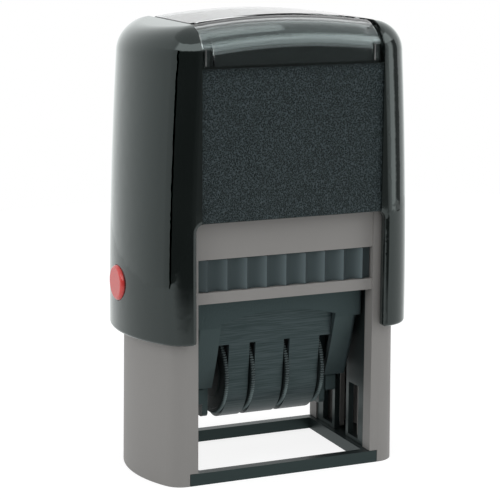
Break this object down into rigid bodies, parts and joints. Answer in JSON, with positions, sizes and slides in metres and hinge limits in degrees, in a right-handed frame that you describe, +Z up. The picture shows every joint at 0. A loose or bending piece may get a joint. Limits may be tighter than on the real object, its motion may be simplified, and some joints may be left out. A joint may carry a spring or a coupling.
{
  "type": "self-inking date stamp",
  "caption": "Self-inking date stamp with a hollow two-column base, a sliding arched cap, a flip-over print unit with date bands and thumbwheels, and a drawer-like ink cartridge.",
  "frame": {"origin": "middle of the footprint, on the surface that the stamp stands on", "axes": "+Z up along the press stroke, +X to the right as the front panel is seen, +Y from the front to the back"},
  "size_m": [0.0722, 0.0396, 0.1071],
  "materials": {
    "grey_shell": "satin",
    "black_gloss": "gloss",
    "black_satin": "satin",
    "clear_window": "clear",
    "card": "matte",
    "red_button": "gloss",
    "slate_cartridge": "satin",
    "ink_felt": "felt",
    "die_rubber": "matte",
    "band_rubber": "matte",
    "foam": "matte",
    "steel": "drawn"
  },
  "bodies": {
    "base": {"base_shell": "grey_shell", "foot_frame": "black_satin", "guide_left": "black_satin", "guide_right": "black_satin", "return_spring_left": "steel", "return_spring_right": "steel"},
    "cartridge": {"ink_cartridge": "slate_cartridge", "ink_pad": "ink_felt"},
    "cap": {"cap_shell": "black_gloss", "index_window": "clear_window", "index_card": "card", "press_bridge": "black_satin"},
    "button_left": {"lock_button_left": "red_button"},
    "button_right": {"lock_button_right": "red_button"},
    "print_unit": {"die_carrier": "black_satin", "die_cushion": "foam", "text_die": "die_rubber", "date_frame": "black_satin", "date_cover": "black_satin", "band_anvil": "steel", "wheel_axle": "steel", "date_band_1": "band_rubber", "date_band_2": "band_rubber", "date_band_3": "band_rubber", "date_band_4": "band_rubber"},
    "wheel_1": {"thumbwheel_1": "black_satin"},
    "wheel_2": {"thumbwheel_2": "black_satin"},
    "wheel_3": {"thumbwheel_3": "black_satin"},
    "wheel_4": {"thumbwheel_4": "black_satin"}
  },
  "joints": [
    {"name": "cap_press", "type": "slide", "parent": "base", "child": "cap", "axis": [0, 0, -1], "range_m": [0, 0.0304], "stiffness_N_per_m": 600, "springref_m": -0.012, "deforming": ["return_spring_left", "return_spring_right"]},
    {"name": "unit_turn", "type": "hinge", "parent": "cap", "child": "print_unit", "pos_m": [0, 0, 0.0377], "axis": [1, 0, 0], "range_deg": [0, 180]},
    {"name": "cartridge_slide", "type": "slide", "parent": "base", "child": "cartridge", "axis": [0, 1, 0], "range_m": [-0.024, 0]},
    {"name": "button_left_press", "type": "slide", "parent": "cap", "child": "button_left", "axis": [1, 0, 0], "range_m": [0, 0.0008], "stiffness_N_per_m": 500, "springref_m": -0.001},
    {"name": "button_right_press", "type": "slide", "parent": "cap", "child": "button_right", "axis": [-1, 0, 0], "range_m": [0, 0.0008], "stiffness_N_per_m": 500, "springref_m": -0.001},
    {"name": "wheel_1_turn", "type": "hinge", "parent": "print_unit", "child": "wheel_1", "pos_m": [-0.0123, 0, 0.0225], "axis": [1, 0, 0], "continuous": true},
    {"name": "wheel_2_turn", "type": "hinge", "parent": "print_unit", "child": "wheel_2", "pos_m": [-0.0056, 0, 0.0225], "axis": [1, 0, 0], "continuous": true},
    {"name": "wheel_3_turn", "type": "hinge", "parent": "print_unit", "child": "wheel_3", "pos_m": [0.0032, 0, 0.0225], "axis": [1, 0, 0], "continuous": true},
    {"name": "wheel_4_turn", "type": "hinge", "parent": "print_unit", "child": "wheel_4", "pos_m": [0.0124, 0, 0.0225], "axis": [1, 0, 0], "continuous": true}
  ],
  "couplings": [
    {"joint": "unit_turn", "follows": "cap_press", "rad_per_m": 103.34}
  ]
}
